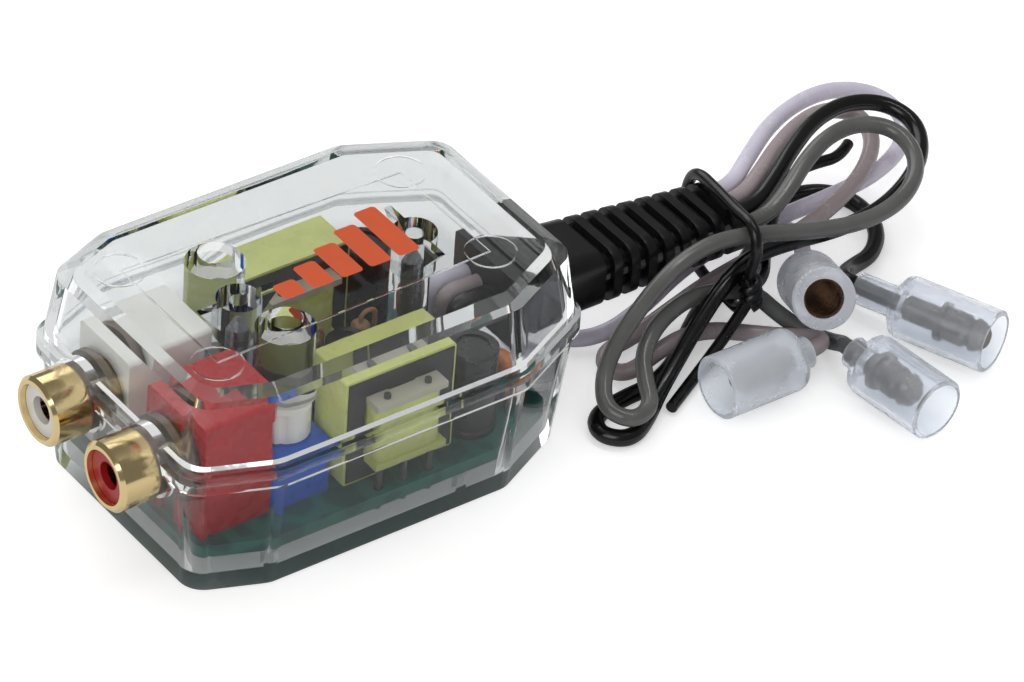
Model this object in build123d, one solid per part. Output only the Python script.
from build123d import *
from math import radians, tan
import os

# Line output converter in a clear two-part housing, in millimetres.
# The origin is at the centre of the housing's underside. +X points to the cable end,
# -X to the RCA jacks, and +Z up.

# The two channels: right lies at -Y, left at +Y
SIDE_NAMES = ((-1, "right"), (1, "left"))

# Housing: an eight-sided plan, widest at the parting line, with both halves drafted
HOUSING_LENGTH = 54.0
HOUSING_WIDTH = 38.0
HOUSING_HEIGHT = 27.0
JACK_END_WIDTH = 30.4
CABLE_END_WIDTH = 26.4
LONG_SIDE_START = -17.2
LONG_SIDE_END = 15.1
PARTING_Z = 16.6
WALL = 2.0
CORNER_RADIUS = 3.0
LID_DRAFT = 1.3
BASE_DRAFT = 1.7
TOP_BEVEL_INSET = 2.2
TOP_BEVEL_DROP = 1.15
FOOT_BEVEL = 0.5

# Ridge on both halves at the parting line, and the tongue that locates the lid
RIDGE_PROUD = 0.4
RIDGE_HEIGHT = 1.2
TONGUE_THICKNESS = 0.8
TONGUE_HEIGHT = 1.0
TONGUE_CLEARANCE = 0.1
TONGUE_CORNER = 2.4

# Marks in the lid's top: four rings joined by a thin frame
RING_DIAMETER = 6.0
MARK_WIDTH = 0.2
MARK_DEPTH = 0.12
MARK_JACK_END = (-19.8, 9.7)
MARK_CABLE_END = (17.1, 8.7)

# Screwdriver tubes in the lid, over the trimmers
TUBE_X = -9.0
TUBE_Y = 6.9
TUBE_DIAMETER = 6.8
TUBE_BORE = 4.0
TUBE_GAP = 1.2

# Screw posts in the lid, bosses in the base and the screws between them
POST_JACK_X = -10.5
POST_CABLE_X = 13.0
POST_DIAMETER = 5.2
POST_LENGTH = 5.0
POST_SPLIT_Z = HOUSING_HEIGHT - WALL - POST_LENGTH
POST_GAP = 0.1
FIN_THICKNESS = 0.9
FIN_REACH = 5.3
FIN_DROP = 3.2
BOSS_DIAMETER = 4.0
BOSS_FOOT_DIAMETER = 7.0
SCREW_DIAMETER = 1.8
SCREW_BORE = 2.1
SCREW_HEAD_DIAMETER = 4.0
SCREW_HEAD_HEIGHT = 1.4
SCREW_SEAT_Z = 2.6
SCREW_TIP_GAP = 1.9
SCREW_LENGTH = HOUSING_HEIGHT - WALL - SCREW_TIP_GAP - SCREW_SEAT_Z
COUNTERBORE_DIAMETER = 4.6
RECESS_WIDTH = 0.6
RECESS_SPAN = 2.2
RECESS_DEPTH = 0.8

# Small clips on the inside of the long walls
CLIP_X = (-16.1, 9.2)
CLIP_WIDTH = 1.4
CLIP_THICKNESS = 0.5
CLIP_TOP_GAP = 0.1

# Circuit board, on the shoulders of the screw bosses
BOARD_UNDERSIDE = 4.1
BOARD_THICKNESS = 1.6
BOARD_CLEARANCE = 0.4
BOARD_TOP = BOARD_UNDERSIDE + BOARD_THICKNESS
LEAD_PROUD = 1.1
HOLE_CLEARANCE = 0.15

# RCA jacks
JACK_Y = 6.7
JACK_Z = 14.3
JACK_FRONT = -32.2
JACK_DIAMETER = 8.3
JACK_BORE = 6.5
JACK_ROOT_DIAMETER = 7.8
JACK_ROOT_GAP = 0.2
JACK_HOLE_CLEARANCE = 0.2
JACK_COLLAR_DIAMETER = 9.5
JACK_COLLAR_THICKNESS = 0.9
JACK_COLLAR_GAP = 0.1
JACK_RIM_BEVEL = 0.4
JACK_BODY_FRONT = -22.5
JACK_BODY_LENGTH = 9.0
JACK_BODY_WIDTH = 9.8
JACK_BODY_TOP = 20.4
JACK_BODY_LIP = 0.9
JACK_BODY_LIP_HEIGHT = 2.6
JACK_SEAT_DEPTH = 1.2
INSULATOR_RECESS = 0.7
INSULATOR_GAP = 0.05
PIN_BORE = 3.3
CONTACT_DIAMETER = 4.0
CONTACT_WALL = 0.35
CONTACT_RECESS = 1.6
CONTACT_SLOT = 0.5
STRIP_WIDTH = 1.0
STRIP_THICKNESS = 0.4
STRIP_X = -15.0
SHELL_LEG_WIDTH = 2.4
SHELL_LEG_SETBACK = 0.5

# Trimmers
TRIMMER_LENGTH = 7.7
TRIMMER_WIDTH = 9.4
TRIMMER_HEIGHT = 6.3
TRIMMER_OFFSET = -0.45
ROTOR_DIAMETER = 5.8
ROTOR_TOP = 16.0
ROTOR_GAP = 0.15
STEM_DIAMETER = 4.0
STEM_CLEARANCE = 0.05
STEM_DEPTH = 4.6
ROTOR_SLOT_WIDTH = 0.9
ROTOR_SLOT_DEPTH = 1.3
TRIMMER_PIN_DIAMETER = 0.7
TRIMMER_PIN_PITCH = 2.5

# Audio transformers
TRANSFORMER_GAP = 0.4
SIDE_WALL_GAP = 1.7
MIDDLE_GAP = 2.2
HEADROOM = 4.55
LIMB = 2.2
CENTRE_LIMB = 3.4
WINDOW_WIDTH = 3.1
CORE_LIFT = 1.2
TAPE_THICKNESS = 0.35
TAPE_WIDTH = 5.6
BOBBIN_WALL = 0.8
BOBBIN_FIT = 0.1
COIL_OVERHANG = 2.3
COIL_INSET = 0.3
BOBBIN_PIN_DIAMETER = 0.8
BOBBIN_PIN_PITCH = 3.4
STUB_HEIGHT = 0.5
CORE_WIDTH = CENTRE_LIMB + 2 * (WINDOW_WIDTH + LIMB)
CORE_BOTTOM = BOARD_TOP + CORE_LIFT
CORE_HEIGHT = HOUSING_HEIGHT - WALL - HEADROOM - TAPE_THICKNESS - CORE_BOTTOM
TRIMMER_BACK = TUBE_X + TRIMMER_OFFSET + TRIMMER_LENGTH / 2
TRANSFORMER_X = TRIMMER_BACK + TRANSFORMER_GAP + TAPE_THICKNESS + CORE_WIDTH / 2

# Capacitors and resistors: places on the board
LARGE_CAP_X = 13.8
LARGE_CAP_DIAMETER = 6.0
LARGE_CAP_WALL_GAP = 3.8
LARGE_CAP_Y = HOUSING_WIDTH / 2 - WALL - LARGE_CAP_WALL_GAP - LARGE_CAP_DIAMETER / 2
LARGE_CAP_HEIGHT = 11.0
SMALL_CAP_X = (-2.3, 4.6)
SMALL_CAP_DIAMETER = 5.0
BOBBIN_OUTER_Y = HOUSING_WIDTH / 2 - WALL - SIDE_WALL_GAP
BOBBIN_INNER_Y = SMALL_CAP_DIAMETER / 2 + MIDDLE_GAP
TRANSFORMER_Y = (BOBBIN_OUTER_Y + BOBBIN_INNER_Y) / 2
CORE_STACK = BOBBIN_OUTER_Y - BOBBIN_INNER_Y - 2 * COIL_OVERHANG
SMALL_CAP_HEIGHT = 7.5
CAN_GROOVE = 0.25
CAN_GROOVE_HEIGHT = 0.8
CAN_RIM = 1.0
CAP_LEAD_DIAMETER = 0.6
DISC_X = 19.4
DISC_DIAMETER = 5.4
DISC_WALL_GAP = 5.7
DISC_Y = HOUSING_WIDTH / 2 - WALL - DISC_WALL_GAP - DISC_DIAMETER / 2
DISC_THICKNESS = 2.4
DISC_LIFT = 1.2
RESISTOR_X = (1.15, 8.3)
RESISTOR_Y = 2.75
RESISTOR_DIAMETER = 2.2
RESISTOR_LENGTH = 6.0
RESISTOR_LIFT = 0.8
RESISTOR_LEAD_DIAMETER = 0.55
RESISTOR_LEAD_SPREAD = 1.9

# Strain relief: a flat ribbed moulding that droops a little towards its end
RELIEF_ROOT_X = HOUSING_LENGTH / 2 + RIDGE_PROUD + 0.1
RELIEF_END_X = 58.0
RELIEF_ROOT_WIDTH = 11.0
RELIEF_ROOT_HEIGHT = 8.0
RELIEF_ROOT_Z = 13.0
RELIEF_END_WIDTH = 9.4
RELIEF_END_HEIGHT = 5.8
RELIEF_END_Z = 10.9
RELIEF_CORNER = 2.2
NECK_WIDTH = 9.6
NECK_HEIGHT = 6.6
NECK_CLEARANCE = 0.1
FLANGE_PROUD = 1.0
FLANGE_THICKNESS = 1.0
RIB_COUNT = 7
RIB_PITCH = 2.5
RIB_THICKNESS = 1.25
FIRST_RIB_X = 38.5
GROOVE_DEPTH = 0.9

# Leads: each rises from the board, leaves through the strain relief and follows the hank
LEAD_DIAMETER = 2.0
LEAD_CORE_DIAMETER = 1.0
LEAD_CLEARANCE = 0.03
LEAD_PITCH = 2.27
LEAD_ROOT_X = 18.5
LEAD_ROOT_LIFT = 0.3
LEAD_ROOT_Z = 13.0
LEAD_END_Z = 11.54
LEAD_FIRST_CORNER_X = 61.0
LEAD_NAMES = ("white", "pink", "dark", "grey")
LEAD_ROUTES = {
    "white": [
        (66.4, 7, 11.6), (73.2, 11.6, 11), (80.9, 14.8, 9.8), (87.2, 15.6, 8.4), (91.8, 13.6, 6.8),
        (92.6, 9.4, 5.4), (89, 6, 4.5), (83.4, 3.9, 4.3), (77, 2.9, 4.7), (70.4, 2, 5.4),
        (63.8, 1.7, 5.6), (57.8, 1.2, 5.5), (51.6, 0.2, 4.8), (45.4, -1.2, 2.8), (39.8, -1.3, 1.1),
        (35.2, 0.8, 1.1), (34.6, 5, 1.1), (38.4, 7.8, 1.1), (44.6, 7.6, 1.1), (51, 6.6, 1.1),
        (57, 6.4, 1.2), (62.4, 6.2, 2.1), (66.6, 4.7, 3.4), (69.8, 2.2, 2.9), (69.8, -0.8, 1.5),
        (67.1, -3, 1.3),
    ],
    "pink": [
        (65.7, 3.7, 11.7), (70.9, 7.2, 11.3), (76.9, 10.4, 10.6), (82, 11.6, 9.7), (85.4, 10.1, 8.7),
        (85, 6.4, 7.7), (81.2, 2.9, 6.9), (75.8, 0.3, 6.4), (70.1, -1.5, 6.1), (64.4, -2.6, 5.8),
        (58.8, -2.9, 5.4), (53.2, -3.1, 4.6), (47.6, -3.7, 3.4), (42.4, -3.9, 1.8), (38.4, -3.7, 1.1),
        (36.6, -6.4, 1.1), (38, -9, 1.5), (41.4, -9.1, 3.1), (45.8, -8.5, 3.5), (50.2, -8.2, 2.5),
        (54.2, -9.4, 1.3), (57.4, -12, 1.2), (59, -15, 2.4), (59.5, -16.9, 3.3), (58.2, -18.6, 3.8),
    ],
    "dark": [
        (65.7, 1.2, 12.2), (70.6, 4.3, 12.8), (76.2, 7.3, 13), (82, 8.5, 12.6), (86.6, 7, 11.8),
        (88.3, 3, 10.8), (85.8, -1.5, 10), (80.8, -4.9, 9.4), (74.9, -6.9, 9), (68.8, -7.1, 8.9),
        (63, -6.4, 9.1), (57.4, -6.4, 9.4), (51.8, -8, 8.4), (47.2, -9.8, 6.2), (43.2, -11.6, 4),
        (38.8, -13.8, 2), (34.9, -16.6, 1.1), (31.4, -18.4, 1.1), (28.9, -16, 1.1), (30.2, -12.9, 1.1),
        (34.4, -11.9, 1.1), (39.4, -11.7, 1.1), (44.2, -9.6, 1.1), (48.8, -5.8, 1.1), (53.4, -2.6, 1.1),
        (58.8, -0.6, 1.1), (64.4, 2.4, 1.1), (69.2, 6.8, 1.1), (74.6, 9.4, 1.1), (79.6, 7.8, 1.1),
        (81.4, 3.2, 1.1), (80, -1.8, 1.1), (76.4, -5.2, 1.1), (72.4, -6.4, 1.7), (69.8, -8, 2.8),
        (68.2, -10.9, 3.8),
    ],
    "grey": [
        (64.9, -2.2, 12.8), (69, -0.1, 14.4), (73.6, 1.6, 15.2), (78.2, 1.8, 15.2), (81.6, -0.4, 14.6),
        (82, -4.2, 13.7), (79.6, -7.8, 12.8), (75, -10.2, 12.2), (69.2, -10.8, 12.1),
        (63.4, -9.6, 12.5), (57.2, -7.9, 13.4), (51.4, -7.1, 14.3), (46.4, -7.3, 13.8),
        (42, -8.2, 12.4), (38.2, -9.1, 10.2), (34.6, -10.2, 7.8), (31.6, -12.2, 5.6), (29.9, -15.3, 4),
        (31.7, -18.1, 3.4), (35, -17.3, 3.6), (36.2, -14.4, 4.6), (37.8, -11.4, 5.8), (41, -9.2, 7.1),
        (45.2, -7.6, 7.4), (49.4, -6.6, 7), (53.4, -6.4, 5.8), (56.9, -7.6, 4.8), (58.4, -9.9, 2.9),
        (60.4, -12.7, 1.2), (61.8, -15.8, 1.2), (61.7, -18.2, 2.5), (60.6, -20.1, 3.8),
    ],
}

# Connectors: one socket and three bullet pins, each in a clear sleeve that is placed by
# the middle of its mouth and the end of its neck
SOCKET_NAME = "white"
SLEEVE_MOUTHS = {
    "white": (58.3, -18.1, 10.2),
    "pink": (43.2, -18.6, 3.8),
    "dark": (75.7, -28.4, 3.8),
    "grey": (62.2, -34.9, 3.8),
}
SLEEVE_ENDS = {
    "white": (65.6, -5.4, 2.7),
    "pink": (56, -18.6, 3.8),
    "dark": (68.7, -12.1, 3.8),
    "grey": (60.7, -21.4, 3.8),
}
BARREL_LENGTHS = {"white": 12.0, "pink": 10.6, "dark": 12.0, "grey": 11.0}
TERMINAL_SETBACKS = {"white": 0.6, "pink": 2.4, "dark": 0.8, "grey": 3.2}
SLEEVE_DIAMETER = 7.6
SOCKET_SLEEVE_DIAMETER = 7.4
SLEEVE_WALL = 0.6
SLEEVE_CONE = 1.2
SLEEVE_NECK_WALL = 0.35
SOCKET_LIP = 0.4
SOCKET_MOUTH_GAP = 0.3
CRIMP_DIAMETER = 3.0
CRIMP_BORE = 2.1
CRIMP_DEPTH = 2.5
CRIMP_LENGTH = 4.4
CRIMP_GAP = 0.05
BULLET_DIAMETER = 4.0
BULLET_LENGTH = 6.0
BULLET_GROOVE_DEPTH = 0.35
BULLET_GROOVE_START = 1.6
BULLET_GROOVE_WIDTH = 1.1
BULLET_COLLAR = 0.6
SOCKET_BORE = 4.1
SOCKET_DIAMETER = 5.0
SOCKET_LENGTH = 7.0

# Twisted tie round the strain relief's end and the leads that come back past it
TIE_DIAMETER = 1.4
TIE_KNOT_DIAMETER = 2.6
TIE_KNOT = [(55.6, -9.6, 5.4), (55.1, -10.1, 4.4)]
TIE_RING = [
    (55.7, -9.4, 5.6), (55.9, -9.1, 9.2), (56.2, -10.1, 13.5), (56.5, -8.4, 15.8), (56.6, -4.2, 15.2),
    (56.7, 0.2, 14.9), (56.7, 4.2, 14.7), (56.6, 5.8, 12.5), (56.5, 5.7, 8.6), (56.3, 4.2, 4.8),
    (56.1, 1, 3), (55.9, -4.4, 3), (55.7, -7.6, 2.9), (55.6, -9.6, 4),
]
TIE_LONG_END = [
    (55.2, -10, 4.8), (51.6, -10.8, 4.3), (48.2, -11.7, 2.6), (44.2, -13.1, 1), (39, -15.9, 0.9),
]
TIE_CURLED_END = [
    (56, -9.8, 6.2), (57.6, -8.2, 7.3), (60.2, -4.8, 7.6), (63.6, -1.4, 8.1), (67.4, 2, 8.6),
    (71.6, 5, 8.5), (75.4, 5.2, 8.3), (78.6, 4.8, 8.2), (81.2, 6.6, 8),
]


def draft_inset(z):
    """How far the housing's outside lies inside its parting outline at height z."""
    if z >= PARTING_Z:
        return LID_DRAFT * (z - PARTING_Z) / (HOUSING_HEIGHT - TOP_BEVEL_DROP - PARTING_Z)
    return BASE_DRAFT * (PARTING_Z - z) / PARTING_Z


def plan(inset, z, corner=CORNER_RADIUS):
    """The eight-sided plan, shrunk by inset, with rounded corners, at height z."""
    half_length = HOUSING_LENGTH / 2
    upper = [
        (half_length, CABLE_END_WIDTH / 2),
        (LONG_SIDE_END, HOUSING_WIDTH / 2),
        (LONG_SIDE_START, HOUSING_WIDTH / 2),
        (-half_length, JACK_END_WIDTH / 2),
    ]
    lower = [(x, -y) for x, y in reversed(upper)]
    outline = make_face(Polyline(*upper, *lower, close=True))
    if inset:
        outline = offset(outline, -inset, kind=Kind.INTERSECTION)
    return Pos(0, 0, z) * fillet(outline.vertices(), corner)


def cylinder_up(diameter, x, y, bottom, top):
    return Pos(x, y, bottom) * extrude(Circle(diameter / 2), top - bottom)


def block(x_range, y_range, z_range):
    """A box between two values on each axis."""
    size = [high - low for low, high in (x_range, y_range, z_range)]
    middle = [(high + low) / 2 for low, high in (x_range, y_range, z_range)]
    return Pos(*middle) * Box(*size)


def turned(profile, axis=Axis.X):
    """A solid turned about an axis from (along, radius) points that start and end on it."""
    return revolve(make_face(Polyline(*profile, close=True)), axis)


def tube_profile(stations, bore):
    """(along, radius) points of a turned tube: the outside forward, the bore backward."""
    first, last = stations[0][0], stations[-1][0]
    return [*stations, (last, bore), (first, bore)]


def rod(start, end, diameter):
    """A plain round rod between two points."""
    start, end = Vector(start), Vector(end)
    across = Plane(origin=start, z_dir=end - start)
    return extrude(across * Circle(diameter / 2), (end - start).length)


def jack_openings():
    """The two round holes that the jacks' barrels pass through."""
    hole = Circle(JACK_DIAMETER / 2 + JACK_HOLE_CLEARANCE)
    start = -HOUSING_LENGTH / 2 - 1
    holes = [
        Pos(start, side * JACK_Y, JACK_Z) * Rot(0, 90, 0) * extrude(hole, 2 * WALL + 1.5)
        for side in (-1, 1)
    ]
    return holes[0] + holes[1]


def relief_section(x, width, height, z, corner):
    """A rounded rectangle across the strain relief, at x."""
    across = Plane(origin=(x, 0, z), x_dir=(0, 1, 0), z_dir=(1, 0, 0))
    return across * RectangleRounded(width, height, corner)


def neck_bottom():
    return PARTING_Z - NECK_CLEARANCE - NECK_HEIGHT


def relief_slot():
    """The slot in the base's end wall, open at the parting line, for the neck."""
    half = NECK_WIDTH / 2 + NECK_CLEARANCE
    low = neck_bottom() - NECK_CLEARANCE
    inner = HOUSING_LENGTH / 2 - 2 * WALL
    outer = HOUSING_LENGTH / 2 + RIDGE_PROUD + 1
    return block((inner, outer), (-half, half), (low, PARTING_Z + TONGUE_HEIGHT))


def ridge(low, high):
    outer = extrude(plan(-RIDGE_PROUD, low), high - low)
    return outer - extrude(plan(WALL / 2, low), high - low)


def lid_marks():
    """Four rings and the frame that joins them, as shallow cuts in the lid's top."""
    depth = HOUSING_HEIGHT - MARK_DEPTH
    ring = Circle(RING_DIAMETER / 2) - Circle(RING_DIAMETER / 2 - MARK_WIDTH)
    corners = [
        (MARK_JACK_END[0], -MARK_JACK_END[1]),
        (MARK_CABLE_END[0], -MARK_CABLE_END[1]),
        MARK_CABLE_END,
        MARK_JACK_END,
    ]
    outer = make_face(Polyline(*corners, close=True))
    frame = outer - offset(outer, -MARK_WIDTH, kind=Kind.INTERSECTION)
    marks = Pos(0, 0, depth) * extrude(frame, 2 * MARK_DEPTH)
    for x, y in corners:
        marks += Pos(x, y, depth) * extrude(ring, 2 * MARK_DEPTH)
    return marks


def fin(x, along_x):
    """A tapering web across a lid post, joined to the underside of the lid's top."""
    top = HOUSING_HEIGHT - WALL
    reach = FIN_REACH
    half_foot = POST_DIAMETER / 2
    profile = [(-reach, top), (reach, top), (half_foot, top - FIN_DROP), (-half_foot, top - FIN_DROP)]
    web = extrude(Plane.XZ * make_face(Polyline(*profile, close=True)), FIN_THICKNESS / 2, both=True)
    return Pos(x, 0, 0) * Rot(0, 0, 0 if along_x else 90) * web


def housing_lid():
    bevel_z = HOUSING_HEIGHT - TOP_BEVEL_DROP
    inner_top = HOUSING_HEIGHT - WALL
    top_inset = LID_DRAFT + TOP_BEVEL_INSET
    lid = loft([plan(0, PARTING_Z), plan(LID_DRAFT, bevel_z)], ruled=True)
    lid += loft([plan(LID_DRAFT, bevel_z), plan(top_inset, HOUSING_HEIGHT, CORNER_RADIUS)], ruled=True)
    inner_corner = CORNER_RADIUS - WALL / 2
    cavity_mouth = plan(WALL, PARTING_Z, inner_corner)
    cavity_roof = plan(WALL + draft_inset(inner_top), inner_top, inner_corner)
    lid -= loft([cavity_mouth, cavity_roof], ruled=True)
    lid += ridge(PARTING_Z, PARTING_Z + RIDGE_HEIGHT)
    rebate_inset = WALL - TONGUE_THICKNESS - TONGUE_CLEARANCE
    rebate = plan(rebate_inset, PARTING_Z, TONGUE_CORNER)
    lid -= extrude(rebate, TONGUE_HEIGHT + TONGUE_CLEARANCE)

    for x, along_x in ((POST_JACK_X, True), (POST_CABLE_X, False)):
        lid += cylinder_up(POST_DIAMETER, x, 0, POST_SPLIT_Z + POST_GAP, inner_top + WALL / 4)
        lid += fin(x, along_x)
        lid -= cylinder_up(SCREW_BORE, x, 0, POST_SPLIT_Z, inner_top - WALL / 4)
    for side in (-1, 1):
        tube_bottom = ROTOR_TOP + TUBE_GAP
        lid += cylinder_up(TUBE_DIAMETER, TUBE_X, side * TUBE_Y, tube_bottom, inner_top + WALL / 4)
        lid -= cylinder_up(TUBE_BORE, TUBE_X, side * TUBE_Y, tube_bottom - 1, HOUSING_HEIGHT + 1)
    lid -= jack_openings()
    lid -= lid_marks()
    return lid


def clip(x, side):
    """A small upright clip on the inside of a long wall, from the floor to the board."""
    top = BOARD_UNDERSIDE - CLIP_TOP_GAP
    face = HOUSING_WIDTH / 2 - draft_inset(BOARD_UNDERSIDE) - WALL
    near, far = face - CLIP_THICKNESS - WALL / 4, face + WALL / 4
    y_range = (near, far) if side > 0 else (-far, -near)
    return block((x - CLIP_WIDTH / 2, x + CLIP_WIDTH / 2), y_range, (WALL / 2, top))


def housing_base():
    foot_inset = draft_inset(0) + FOOT_BEVEL
    inner_corner = CORNER_RADIUS - WALL / 2
    base = loft([plan(foot_inset, 0), plan(draft_inset(FOOT_BEVEL), FOOT_BEVEL)], ruled=True)
    base += loft([plan(draft_inset(FOOT_BEVEL), FOOT_BEVEL), plan(0, PARTING_Z)], ruled=True)
    cavity_floor = plan(WALL + draft_inset(WALL), WALL, inner_corner)
    cavity_mouth = plan(WALL, PARTING_Z, inner_corner)
    base -= loft([cavity_floor, cavity_mouth], ruled=True)
    base += ridge(PARTING_Z - RIDGE_HEIGHT, PARTING_Z)
    tongue = plan(WALL - TONGUE_THICKNESS, PARTING_Z, TONGUE_CORNER)
    tongue -= plan(WALL, PARTING_Z, inner_corner)
    base += extrude(tongue, TONGUE_HEIGHT)

    for x in (POST_JACK_X, POST_CABLE_X):
        base += cylinder_up(BOSS_FOOT_DIAMETER, x, 0, WALL / 2, BOARD_UNDERSIDE)
        base += cylinder_up(BOSS_DIAMETER, x, 0, WALL / 2, POST_SPLIT_Z)
        base -= cylinder_up(SCREW_BORE, x, 0, -1, POST_SPLIT_Z + 1)
        base -= cylinder_up(COUNTERBORE_DIAMETER, x, 0, -1, SCREW_SEAT_Z)
    for x in CLIP_X:
        base += clip(x, -1) + clip(x, 1)
    base -= jack_openings()
    base -= relief_slot()
    return base


def case_screws():
    """Two self-tapping screws, heads down, each with a cross recess."""
    screws = []
    for x in (POST_JACK_X, POST_CABLE_X):
        head_bottom = SCREW_SEAT_Z - SCREW_HEAD_HEIGHT
        tip = SCREW_SEAT_Z + SCREW_LENGTH
        radius = SCREW_DIAMETER / 2
        screw = cylinder_up(SCREW_HEAD_DIAMETER, x, 0, head_bottom, SCREW_SEAT_Z)
        screw += cylinder_up(SCREW_DIAMETER, x, 0, SCREW_SEAT_Z, tip - SCREW_DIAMETER)
        screw += Pos(x, 0, tip - radius) * Cone(radius, radius / 4, SCREW_DIAMETER)
        recess = Box(RECESS_SPAN, RECESS_WIDTH, RECESS_DEPTH) + Box(RECESS_WIDTH, RECESS_SPAN, RECESS_DEPTH)
        screw -= Pos(x, 0, head_bottom + RECESS_DEPTH / 2) * recess
        screws.append(screw)
    return screws


def trimmer_pin_places(side):
    x = TUBE_X + TRIMMER_OFFSET
    return [(x, side * TUBE_Y + step * TRIMMER_PIN_PITCH) for step in (-1, 0, 1)]


def bobbin_pin_places(side):
    """Three pins along each overhang of a transformer's bobbin."""
    reach = CORE_STACK / 2 + COIL_OVERHANG / 2
    y = side * TRANSFORMER_Y
    return [
        (TRANSFORMER_X + step * BOBBIN_PIN_PITCH, y + edge * reach)
        for edge in (-1, 1)
        for step in (-1, 0, 1)
    ]


def cap_lead_places(x, y, spread):
    return [(x, y - spread / 2), (x, y + spread / 2)]


def large_cap_places():
    return [(LARGE_CAP_X, side * LARGE_CAP_Y) for side in (-1, 1)]


def small_cap_places():
    return [(x, 0) for x in SMALL_CAP_X]


def disc_places():
    return [(DISC_X, side * DISC_Y) for side in (-1, 1)]


def resistor_places():
    return [(x, side * RESISTOR_Y) for x in RESISTOR_X for side in (-1, 1)]


def resistor_lead_places(x, y):
    return [(x, y), (x + RESISTOR_LEAD_SPREAD, y)]


def circuit_board():
    z = BOARD_UNDERSIDE
    inset = draft_inset(z) + WALL + BOARD_CLEARANCE
    board = extrude(plan(inset, z, CORNER_RADIUS - WALL / 2), BOARD_THICKNESS)
    for x in (POST_JACK_X, POST_CABLE_X):
        board -= cylinder_up(BOSS_DIAMETER + 2 * HOLE_CLEARANCE, x, 0, z - 1, BOARD_TOP + 1)
    holes = []
    for side in (-1, 1):
        holes += [(TRIMMER_PIN_DIAMETER, place) for place in trimmer_pin_places(side)]
        holes += [(BOBBIN_PIN_DIAMETER, place) for place in bobbin_pin_places(side)]
    for x, y in large_cap_places():
        holes += [(CAP_LEAD_DIAMETER, place) for place in cap_lead_places(x, y, LARGE_CAP_DIAMETER / 2)]
    for x, y in small_cap_places():
        holes += [(CAP_LEAD_DIAMETER, place) for place in cap_lead_places(x, y, SMALL_CAP_DIAMETER / 2)]
    for x, y in disc_places():
        holes += [(CAP_LEAD_DIAMETER, place) for place in cap_lead_places(x, y, DISC_DIAMETER / 2)]
    for x, y in resistor_places():
        holes += [(RESISTOR_LEAD_DIAMETER, place) for place in resistor_lead_places(x, y)]
    holes += [(LEAD_CORE_DIAMETER, (LEAD_ROOT_X, lead_lane(name))) for name in LEAD_NAMES]
    for diameter, (x, y) in holes:
        board -= cylinder_up(diameter + 2 * HOLE_CLEARANCE, x, y, z - 1, BOARD_TOP + 1)
    for side in (-1, 1):
        for leg in (strip_leg(side), shell_leg(side)):
            box = leg.bounding_box()
            grow = HOLE_CLEARANCE
            board -= block(
                (box.min.X - grow, box.max.X + grow),
                (box.min.Y - grow, box.max.Y + grow),
                (z - 1, BOARD_TOP + 1),
            )
    return board


def strip_leg(side):
    """The tail of a jack's centre contact, down through the board."""
    y = side * JACK_Y
    return block(
        (STRIP_X - STRIP_THICKNESS, STRIP_X),
        (y - STRIP_WIDTH / 2, y + STRIP_WIDTH / 2),
        (BOARD_UNDERSIDE - LEAD_PROUD, JACK_Z + STRIP_THICKNESS / 2),
    )


def shell_leg(side):
    """The earth tail of a jack's shell, down a slot in the front of its body."""
    y = side * JACK_Y
    low = JACK_BODY_FRONT + SHELL_LEG_SETBACK
    return block(
        (low, low + STRIP_THICKNESS),
        (y - SHELL_LEG_WIDTH / 2, y + SHELL_LEG_WIDTH / 2),
        (BOARD_UNDERSIDE - LEAD_PROUD, JACK_Z - JACK_DIAMETER / 2 + STRIP_THICKNESS),
    )


def on_jack_axis(solid, side):
    return Pos(0, side * JACK_Y, JACK_Z) * solid


def jack_shell(side):
    """The barrel that a plug's sleeve grips, turned, with a collar inside the wall."""
    outer = JACK_DIAMETER / 2
    root = JACK_ROOT_DIAMETER / 2
    root_front = -HOUSING_LENGTH / 2 - RIDGE_PROUD - JACK_ROOT_GAP
    collar = JACK_COLLAR_DIAMETER / 2
    wall_inside = HOUSING_LENGTH / 2 - draft_inset(JACK_Z - collar) - WALL
    collar_front = -wall_inside + JACK_COLLAR_GAP
    collar_back = collar_front + JACK_COLLAR_THICKNESS
    stations = [
        (JACK_FRONT, outer - JACK_RIM_BEVEL),
        (JACK_FRONT + JACK_RIM_BEVEL, outer),
        (root_front, outer),
        (root_front, root),
        (collar_front, root),
        (collar_front, collar),
        (collar_back, collar),
        (collar_back, root),
        (JACK_BODY_FRONT + JACK_SEAT_DEPTH, root),
    ]
    shell = turned(tube_profile(stations, JACK_BORE / 2))
    return on_jack_axis(shell, side) + shell_leg(side)


def jack_insulator(side):
    """The plastic core of the barrel, with the plug pin's hole in its face."""
    outer = JACK_BORE / 2 - INSULATOR_GAP
    front = JACK_FRONT + INSULATOR_RECESS
    lip = JACK_FRONT + CONTACT_RECESS - INSULATOR_GAP
    back = JACK_BODY_FRONT + JACK_SEAT_DEPTH
    seat = CONTACT_DIAMETER / 2 + INSULATOR_GAP
    pin = PIN_BORE / 2
    profile = [(front, pin), (front, outer), (back, outer), (back, seat), (lip, seat), (lip, pin)]
    return on_jack_axis(turned(profile), side)


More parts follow.
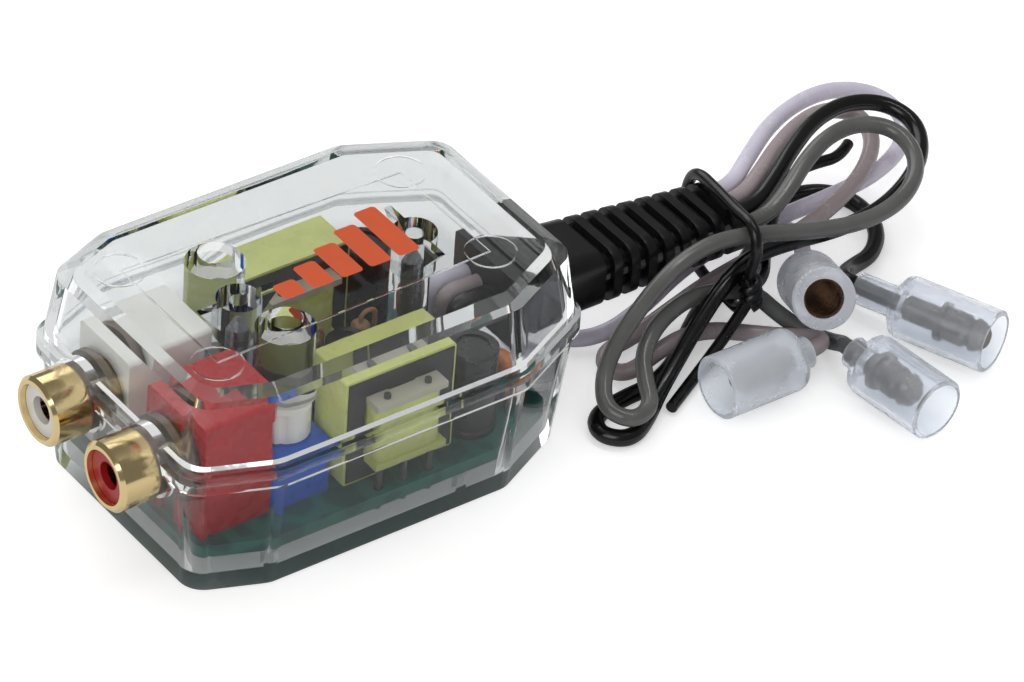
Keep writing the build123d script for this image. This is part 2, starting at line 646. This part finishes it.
def jack_contact(side):
    """The centre contact: a split tube, and a strip that runs back and down."""
    outer = CONTACT_DIAMETER / 2
    front = JACK_FRONT + CONTACT_RECESS
    back = JACK_BODY_FRONT + JACK_SEAT_DEPTH
    tube = turned(tube_profile([(front, outer), (back, outer)], outer - CONTACT_WALL))
    slit_half = CONTACT_SLOT / 2
    slit = block((front - 1, (front + back) / 2), (-outer - 1, outer + 1), (-slit_half, slit_half))
    end = turned([(back - CONTACT_WALL, 0), (back - CONTACT_WALL, outer), (back, outer), (back, 0)])
    half = STRIP_THICKNESS / 2
    strip = block((back, STRIP_X), (-STRIP_WIDTH / 2, STRIP_WIDTH / 2), (-half, half))
    return on_jack_axis(tube - slit + end + strip, side) + strip_leg(side)


def jack_body(side):
    """The moulded block behind a barrel, with a lip along its top rear edge."""
    y = side * JACK_Y
    back = JACK_BODY_FRONT + JACK_BODY_LENGTH
    y_range = (y - JACK_BODY_WIDTH / 2, y + JACK_BODY_WIDTH / 2)
    body = block((JACK_BODY_FRONT, back), y_range, (BOARD_TOP, JACK_BODY_TOP))
    lip_range = (JACK_BODY_TOP - JACK_BODY_LIP_HEIGHT, JACK_BODY_TOP)
    body += block((back - 1, back + JACK_BODY_LIP), y_range, lip_range)
    body = fillet(body.edges().filter_by(Axis.X).group_by(Axis.Z)[-1], 0.6)
    body -= on_jack_axis(
        turned([
            (JACK_BODY_FRONT - 1, 0),
            (JACK_BODY_FRONT - 1, JACK_ROOT_DIAMETER / 2 + INSULATOR_GAP),
            (JACK_BODY_FRONT + JACK_SEAT_DEPTH, JACK_ROOT_DIAMETER / 2 + INSULATOR_GAP),
            (JACK_BODY_FRONT + JACK_SEAT_DEPTH, 0),
        ]),
        side,
    )
    gap = HOLE_CLEARANCE
    half = STRIP_WIDTH / 2 + gap
    channel_top = JACK_Z + STRIP_THICKNESS / 2 + gap
    channel_low = JACK_Z - STRIP_THICKNESS / 2 - gap
    front = JACK_BODY_FRONT + JACK_SEAT_DEPTH - gap
    body -= block((front, STRIP_X + gap), (y - half, y + half), (channel_low, channel_top))
    strip_range = (STRIP_X - STRIP_THICKNESS - gap, STRIP_X + gap)
    body -= block(strip_range, (y - half, y + half), (BOARD_TOP - 1, channel_top))
    leg_half = SHELL_LEG_WIDTH / 2 + gap
    leg_back = JACK_BODY_FRONT + SHELL_LEG_SETBACK + STRIP_THICKNESS + gap
    body -= block((JACK_BODY_FRONT - 1, leg_back), (y - leg_half, y + leg_half), (BOARD_TOP - 1, JACK_Z))
    return body


def trimmer_body(side):
    x = TUBE_X + TRIMMER_OFFSET
    y = side * TUBE_Y
    top = BOARD_TOP + TRIMMER_HEIGHT
    half_length = TRIMMER_LENGTH / 2
    half_width = TRIMMER_WIDTH / 2
    body = block((x - half_length, x + half_length), (y - half_width, y + half_width), (BOARD_TOP, top))
    body = chamfer(body.edges().filter_by(Axis.Z), 0.7)
    bore = STEM_DIAMETER + 2 * STEM_CLEARANCE
    return body - cylinder_up(bore, TUBE_X, y, top - STEM_DEPTH - ROTOR_GAP, top + 1)


def trimmer_rotor(side):
    """The white control that a screwdriver turns."""
    y = side * TUBE_Y
    seat = BOARD_TOP + TRIMMER_HEIGHT
    rotor = cylinder_up(ROTOR_DIAMETER, TUBE_X, y, seat + ROTOR_GAP, ROTOR_TOP)
    rotor += cylinder_up(STEM_DIAMETER, TUBE_X, y, seat - STEM_DEPTH, seat + ROTOR_GAP)
    slot_low = ROTOR_TOP - ROTOR_SLOT_DEPTH
    half = ROTOR_SLOT_WIDTH / 2
    reach = ROTOR_DIAMETER
    return rotor - block((TUBE_X - reach, TUBE_X + reach), (y - half, y + half), (slot_low, ROTOR_TOP + 1))


def trimmer_pins():
    low = BOARD_UNDERSIDE - LEAD_PROUD
    return [
        cylinder_up(TRIMMER_PIN_DIAMETER, x, y, low, BOARD_TOP)
        for side in (-1, 1)
        for x, y in trimmer_pin_places(side)
    ]


def window_bounds():
    """Bottom and top of the core's two windows."""
    return CORE_BOTTOM + LIMB, CORE_BOTTOM + CORE_HEIGHT - LIMB


def transformer_core(side):
    """The stack of E and I plates: a frame with a centre limb."""
    y = side * TRANSFORMER_Y
    low, high = window_bounds()
    x = TRANSFORMER_X
    y_range = (y - CORE_STACK / 2, y + CORE_STACK / 2)
    half = CORE_WIDTH / 2
    core = block((x - half, x + half), y_range, (CORE_BOTTOM, CORE_BOTTOM + CORE_HEIGHT))
    cut_range = (y - CORE_STACK, y + CORE_STACK)
    core -= block((x - half + LIMB, x - CENTRE_LIMB / 2), cut_range, (low, high))
    core -= block((x + CENTRE_LIMB / 2, x + half - LIMB), cut_range, (low, high))
    return core


def transformer_tape(side):
    """One wrap of tape round the outside of the core."""
    half_width = CORE_WIDTH / 2 + TAPE_THICKNESS
    low = CORE_BOTTOM - TAPE_THICKNESS
    high = CORE_BOTTOM + CORE_HEIGHT + TAPE_THICKNESS
    y_range = (-TAPE_WIDTH / 2, TAPE_WIDTH / 2)
    wrap = block((-half_width, half_width), y_range, (low, high))
    wrap = fillet(wrap.edges().filter_by(Axis.Y), TAPE_THICKNESS)
    wrap -= block(
        (-CORE_WIDTH / 2, CORE_WIDTH / 2),
        (-TAPE_WIDTH, TAPE_WIDTH),
        (CORE_BOTTOM, CORE_BOTTOM + CORE_HEIGHT),
    )
    return Pos(TRANSFORMER_X, side * TRANSFORMER_Y, 0) * wrap


def coil_half_sizes():
    """Half sizes of the bobbin's flanges along X and Y."""
    return CORE_WIDTH / 2 - LIMB - BOBBIN_FIT, CORE_STACK / 2 + COIL_OVERHANG


def transformer_bobbin(side):
    """Two flanges joined by a square tube on the core's centre limb."""
    half_x, half_y = coil_half_sizes()
    low, high = window_bounds()
    low += BOBBIN_FIT
    high -= BOBBIN_FIT
    tube_x = CENTRE_LIMB / 2 + BOBBIN_FIT + BOBBIN_WALL
    tube_y = CORE_STACK / 2 + BOBBIN_FIT + BOBBIN_WALL
    bobbin = block((-half_x, half_x), (-half_y, half_y), (low, low + BOBBIN_WALL))
    bobbin += block((-half_x, half_x), (-half_y, half_y), (high - BOBBIN_WALL, high))
    bobbin += block((-tube_x, tube_x), (-tube_y, tube_y), (low, high))
    limb_x = CENTRE_LIMB / 2 + BOBBIN_FIT
    limb_y = CORE_STACK / 2 + BOBBIN_FIT
    bobbin -= block((-limb_x, limb_x), (-limb_y, limb_y), (low - 1, high + 1))
    return Pos(TRANSFORMER_X, side * TRANSFORMER_Y, 0) * bobbin


def transformer_coil(side):
    """The winding between the flanges, under its own tape."""
    half_x, half_y = coil_half_sizes()
    half_x -= COIL_INSET
    half_y -= COIL_INSET
    low, high = window_bounds()
    low += BOBBIN_FIT + BOBBIN_WALL
    high -= BOBBIN_FIT + BOBBIN_WALL
    coil = block((-half_x, half_x), (-half_y, half_y), (low, high))
    coil = fillet(coil.edges().filter_by(Axis.Z), 1.2)
    tube_x = CENTRE_LIMB / 2 + BOBBIN_FIT + BOBBIN_WALL
    tube_y = CORE_STACK / 2 + BOBBIN_FIT + BOBBIN_WALL
    coil -= block((-tube_x, tube_x), (-tube_y, tube_y), (low - 1, high + 1))
    return Pos(TRANSFORMER_X, side * TRANSFORMER_Y, 0) * coil


def transformer_pins(side):
    """Pins from the lower flange into the board, and wire stubs on the upper one."""
    window_low, window_high = window_bounds()
    pins = [
        cylinder_up(BOBBIN_PIN_DIAMETER, x, y, BOARD_UNDERSIDE - LEAD_PROUD, window_low + BOBBIN_FIT)
        for x, y in bobbin_pin_places(side)
    ]
    stub_low = window_high - BOBBIN_FIT
    for edge in (-1, 1):
        y = side * TRANSFORMER_Y + edge * (CORE_STACK / 2 + COIL_OVERHANG / 2)
        for step in (-1, 1):
            x = TRANSFORMER_X + step * BOBBIN_PIN_PITCH * 0.8
            pins.append(cylinder_up(BOBBIN_PIN_DIAMETER, x, y, stub_low, stub_low + STUB_HEIGHT))
    return pins


def electrolytic(x, y, diameter, height):
    """A radial can with a rolled groove near its foot, on two leads."""
    radius = diameter / 2
    groove = CAN_GROOVE_HEIGHT
    profile = [
        (0, 0),
        (0, radius - CAN_GROOVE),
        (CAN_GROOVE, radius),
        (groove, radius),
        (groove + CAN_GROOVE, radius - CAN_GROOVE),
        (groove + 2 * CAN_GROOVE, radius),
        (height - CAN_GROOVE, radius),
        (height, radius - CAN_GROOVE),
        (height, radius - CAN_RIM),
        (height - CAN_GROOVE, radius - CAN_RIM),
        (height - CAN_GROOVE, 0),
    ]
    outline = make_face(Polyline(*[(r, z) for z, r in profile], close=True))
    can = Pos(x, y, BOARD_TOP) * revolve(Plane.XZ * outline, Axis.Z)
    for lead_x, lead_y in cap_lead_places(x, y, radius):
        can += cylinder_up(CAP_LEAD_DIAMETER, lead_x, lead_y, BOARD_UNDERSIDE - LEAD_PROUD, BOARD_TOP + 0.1)
    return can


def disc_capacitor(x, y):
    """A dipped disc that stands on its two leads."""
    centre_z = BOARD_TOP + DISC_LIFT + DISC_DIAMETER / 2
    disc = extrude(Plane.YZ * Circle(DISC_DIAMETER / 2), DISC_THICKNESS / 2, both=True)
    disc = Pos(x, y, centre_z) * fillet(disc.edges(), DISC_THICKNESS * 0.45)
    for lead_x, lead_y in cap_lead_places(x, y, DISC_DIAMETER / 2):
        disc += cylinder_up(CAP_LEAD_DIAMETER, lead_x, lead_y, BOARD_UNDERSIDE - LEAD_PROUD, centre_z - 1)
    return disc


def resistor(x, y):
    """A resistor stood on end, its upper lead bent over and down beside it."""
    low = BOARD_TOP + RESISTOR_LIFT
    radius = RESISTOR_DIAMETER / 2
    waist = radius * 0.82
    cap = RESISTOR_LENGTH * 0.24
    profile = [
        (0, low),
        (radius * 0.7, low),
        (radius, low + 0.4),
        (radius, low + cap),
        (waist, low + cap + 0.4),
        (waist, low + RESISTOR_LENGTH - cap - 0.4),
        (radius, low + RESISTOR_LENGTH - cap),
        (radius, low + RESISTOR_LENGTH - 0.4),
        (radius * 0.7, low + RESISTOR_LENGTH),
        (0, low + RESISTOR_LENGTH),
    ]
    body = Pos(x, y, 0) * revolve(Plane.XZ * make_face(Polyline(*profile, close=True)), Axis.Z)
    bend = RESISTOR_LEAD_SPREAD / 2
    bend_z = low + RESISTOR_LENGTH + 0.3
    foot = BOARD_UNDERSIDE - LEAD_PROUD
    path = Line((x, y, low + RESISTOR_LENGTH - 0.5), (x, y, bend_z))
    path += ThreePointArc((x, y, bend_z), (x + bend, y, bend_z + bend), (x + 2 * bend, y, bend_z))
    path += Line((x + 2 * bend, y, bend_z), (x + 2 * bend, y, foot))
    start = Plane(origin=(x, y, low + RESISTOR_LENGTH - 0.5), z_dir=(0, 0, 1))
    lead = sweep(start * Circle(RESISTOR_LEAD_DIAMETER / 2), path=path)
    return body + lead + cylinder_up(RESISTOR_LEAD_DIAMETER, x, y, foot, low + 0.2)


def relief_loft(x_start, x_end, inset):
    """The strain relief's tapering outside between two x values, shrunk by inset."""

    def section(x):
        share = (x - RELIEF_ROOT_X) / (RELIEF_END_X - RELIEF_ROOT_X)
        width = RELIEF_ROOT_WIDTH + share * (RELIEF_END_WIDTH - RELIEF_ROOT_WIDTH)
        height = RELIEF_ROOT_HEIGHT + share * (RELIEF_END_HEIGHT - RELIEF_ROOT_HEIGHT)
        z = RELIEF_ROOT_Z + share * (RELIEF_END_Z - RELIEF_ROOT_Z)
        corner = RELIEF_CORNER - inset
        return relief_section(x, width - 2 * inset, height - 2 * inset, z, corner)

    return loft([section(x_start), section(x_end)], ruled=True)


def strain_relief():
    """Neck and inner flange in the end wall, a plain block outside, then ribs."""
    half_rib = RIB_THICKNESS / 2
    last_rib_x = FIRST_RIB_X + (RIB_COUNT - 1) * RIB_PITCH
    groove_start = FIRST_RIB_X - RIB_PITCH + half_rib
    groove_end = last_rib_x + RIB_PITCH - half_rib
    relief = relief_loft(RELIEF_ROOT_X, groove_start, 0)
    relief += relief_loft(groove_start, groove_end, GROOVE_DEPTH)
    relief += relief_loft(groove_end, RELIEF_END_X, 0)
    for index in range(RIB_COUNT):
        x = FIRST_RIB_X + index * RIB_PITCH
        relief += relief_loft(x - half_rib, x + half_rib, 0)
    neck_z = neck_bottom() + NECK_HEIGHT / 2
    wall_inside = HOUSING_LENGTH / 2 - draft_inset(neck_bottom()) - WALL
    flange_x = wall_inside - NECK_CLEARANCE - FLANGE_THICKNESS
    neck = relief_section(flange_x, NECK_WIDTH, NECK_HEIGHT, neck_z, 0.4)
    relief += extrude(neck, RELIEF_ROOT_X - flange_x)
    grow = 2 * FLANGE_PROUD
    flange = relief_section(flange_x, NECK_WIDTH + grow, NECK_HEIGHT + grow, neck_z, 0.4)
    relief += extrude(flange, FLANGE_THICKNESS)
    for name in LEAD_NAMES:
        y = lead_lane(name)
        ends = [(x, y, lead_height(x)) for x in (flange_x - 1, RELIEF_END_X + 1)]
        relief -= rod(*ends, LEAD_DIAMETER + 2 * LEAD_CLEARANCE)
    return relief


def lead_lane(name):
    """The leads lie side by side in the strain relief."""
    return (1.5 - LEAD_NAMES.index(name)) * LEAD_PITCH


def lead_height(x):
    """Height of the leads' straight stretch through the strain relief."""
    share = (x - RELIEF_ROOT_X) / (RELIEF_END_X - RELIEF_ROOT_X)
    return LEAD_ROOT_Z + share * (LEAD_END_Z - LEAD_ROOT_Z)


def corner_radii(points):
    """For each corner, the tangent arc that its shorter run allows."""
    radii = []
    for before, corner, after in zip(points, points[1:], points[2:]):
        run_in, run_out = corner - before, after - corner
        shorter = min(run_in.length, run_out.length)
        radii.append(0.45 * shorter / tan(radians(run_in.get_angle(run_out)) / 2))
    return radii


def cord(name, points, diameter):
    """A plain tube along straight runs joined by tangent arcs."""
    points = [Vector(point) for point in points]
    radii = corner_radii(points)
    path = FilletPolyline(*points, radius=radii)
    across = Plane(origin=points[0], z_dir=points[1] - points[0])
    section = across * Circle(diameter / 2)
    tube = sweep(section, path=path)
    share = tube.volume / (section.area * path.length)
    print(f"{name}: length {path.length:.1f}, least radius {min(radii):.1f}, volume share {share:.3f}")
    return tube


def sleeve_frame(name):
    """A connector's own frame: from the sleeve's mouth, +X along its axis to the neck."""
    mouth, end = Vector(SLEEVE_MOUTHS[name]), Vector(SLEEVE_ENDS[name])
    along = end - mouth
    return Plane(origin=mouth, x_dir=along, z_dir=along.cross(Vector(0, 0, 1)))


def terminal_length(name):
    if name == SOCKET_NAME:
        return SOCKET_LENGTH + CRIMP_LENGTH
    return BULLET_LENGTH + CRIMP_LENGTH


def lead(name):
    """One insulated lead, from its core in the board to the crimp in its terminal."""
    y = lead_lane(name)
    root = (LEAD_ROOT_X, y, BOARD_TOP + LEAD_ROOT_LIFT)
    bend = (LEAD_ROOT_X, y, lead_height(LEAD_ROOT_X))
    first = (LEAD_FIRST_CORNER_X, y, lead_height(LEAD_FIRST_CORNER_X))
    depth = TERMINAL_SETBACKS[name] + terminal_length(name) - CRIMP_DEPTH
    last = sleeve_frame(name).from_local_coords(Vector(depth, 0, 0))
    tube = cord("lead_" + name, [root, bend, first, *LEAD_ROUTES[name], last], LEAD_DIAMETER)
    core_top = root[2] + LEAD_CORE_DIAMETER / 2
    core = cylinder_up(LEAD_CORE_DIAMETER, LEAD_ROOT_X, y, BOARD_UNDERSIDE - LEAD_PROUD, core_top)
    return tube + core


def terminal(name):
    """A bullet pin, or the socket for one, with a crimp for the lead behind it."""
    crimp = CRIMP_DIAMETER / 2
    bore = CRIMP_BORE / 2
    end = terminal_length(name)
    bottom = end - CRIMP_DEPTH
    tail = [(end - CRIMP_LENGTH, crimp), (end, crimp), (end, bore), (bottom, bore), (bottom, 0)]
    if name == SOCKET_NAME:
        wall = (SOCKET_DIAMETER - SOCKET_BORE) / 2
        floor = SOCKET_LENGTH - wall
        outer = SOCKET_DIAMETER / 2
        hole = SOCKET_BORE / 2
        front = [(floor, 0), (floor, hole), (0, hole), (0, outer), (SOCKET_LENGTH, outer)]
    else:
        radius = BULLET_DIAMETER / 2
        groove = radius - BULLET_GROOVE_DEPTH
        start = BULLET_GROOVE_START
        stop = start + BULLET_GROOVE_WIDTH
        front = [
            (0, 0),
            (0, radius / 2),
            (radius / 4, 0.82 * radius),
            (0.65 * radius, radius),
            (start, radius),
            (start + BULLET_GROOVE_DEPTH, groove),
            (stop - BULLET_GROOVE_DEPTH, groove),
            (stop, radius),
            (BULLET_LENGTH - BULLET_COLLAR, radius),
            (BULLET_LENGTH - BULLET_COLLAR, radius + BULLET_GROOVE_DEPTH),
            (BULLET_LENGTH, radius + BULLET_GROOVE_DEPTH),
        ]
    frame = sleeve_frame(name)
    metal = turned([*front, *tail])
    return frame.location * Pos(TERMINAL_SETBACKS[name], 0, 0) * metal


def sleeve(name):
    """The clear sleeve over a terminal: a barrel, a cone and a neck."""
    length = (Vector(SLEEVE_ENDS[name]) - Vector(SLEEVE_MOUTHS[name])).length
    barrel = BARREL_LENGTHS[name]
    neck_bore = CRIMP_DIAMETER / 2 + CRIMP_GAP
    neck = neck_bore + SLEEVE_NECK_WALL
    if name == SOCKET_NAME:
        outer = SOCKET_SLEEVE_DIAMETER / 2
        bore = SOCKET_DIAMETER / 2 + CRIMP_GAP
        mouth = SOCKET_BORE / 2 + SOCKET_MOUTH_GAP
        shoulder = TERMINAL_SETBACKS[name] + SOCKET_LENGTH + CRIMP_GAP
        inside = [(shoulder, neck_bore), (shoulder, bore)]
        inside += [(SOCKET_LIP, bore), (SOCKET_LIP, mouth), (0, mouth)]
    else:
        outer = SLEEVE_DIAMETER / 2
        bore = outer - SLEEVE_WALL
        shoulder = barrel - SLEEVE_WALL
        inside = [(shoulder, neck_bore), (shoulder, bore), (0, bore)]
    edge = SLEEVE_WALL / 3
    outside = [
        (0, outer - edge),
        (edge, outer),
        (barrel - SLEEVE_WALL, outer),
        (barrel, outer - edge),
        (barrel + SLEEVE_CONE, neck),
        (length, neck),
        (length, neck_bore),
    ]
    return sleeve_frame(name).location * turned([*outside, *inside])


def twist_tie():
    """A loop of covered wire whose ends meet in a twisted knot."""
    tie = cord("tie ring", TIE_RING, TIE_DIAMETER)
    tie += cord("tie long end", TIE_LONG_END, TIE_DIAMETER)
    tie += cord("tie curled end", TIE_CURLED_END, TIE_DIAMETER)
    for place in TIE_KNOT:
        tie += Pos(*place) * Sphere(TIE_KNOT_DIAMETER / 2)
    return tie


def all_parts():
    parts = {
        "housing_base": housing_base(),
        "housing_lid": housing_lid(),
        "case_screws": case_screws(),
        "circuit_board": circuit_board(),
        "trimmer_pins": trimmer_pins(),
        "strain_relief": strain_relief(),
    }
    for side, name in SIDE_NAMES:
        parts["jack_shell_" + name] = jack_shell(side)
        parts["jack_body_" + name] = jack_body(side)
        parts["jack_insulator_" + name] = jack_insulator(side)
        parts["jack_contact_" + name] = jack_contact(side)
        parts["trimmer_body_" + name] = trimmer_body(side)
        parts["trimmer_rotor_" + name] = trimmer_rotor(side)
        parts["transformer_core_" + name] = transformer_core(side)
        parts["transformer_tape_" + name] = transformer_tape(side)
        parts["transformer_bobbin_" + name] = transformer_bobbin(side)
        parts["transformer_coil_" + name] = transformer_coil(side)
        parts["transformer_pins_" + name] = transformer_pins(side)
    for (side, name), (x, y) in zip(SIDE_NAMES, large_cap_places()):
        parts["large_capacitor_" + name] = electrolytic(x, y, LARGE_CAP_DIAMETER, LARGE_CAP_HEIGHT)
    for number, (x, y) in enumerate(small_cap_places(), 1):
        parts[f"small_capacitor_{number}"] = electrolytic(x, y, SMALL_CAP_DIAMETER, SMALL_CAP_HEIGHT)
    for (side, name), (x, y) in zip(SIDE_NAMES, disc_places()):
        parts["disc_capacitor_" + name] = disc_capacitor(x, y)
    for number, (x, y) in enumerate(resistor_places(), 1):
        parts[f"resistor_{number}"] = resistor(x, y)
    for name in LEAD_NAMES:
        parts["lead_" + name] = lead(name)
        parts["terminal_" + name] = terminal(name)
        parts["sleeve_" + name] = sleeve(name)
    parts["twist_tie"] = twist_tie()
    return parts


os.makedirs("parts", exist_ok=True)
for node, shape in all_parts().items():
    solid = Compound(children=list(shape)) if isinstance(shape, list) else shape
    export_step(solid, f"parts/{node}.step")
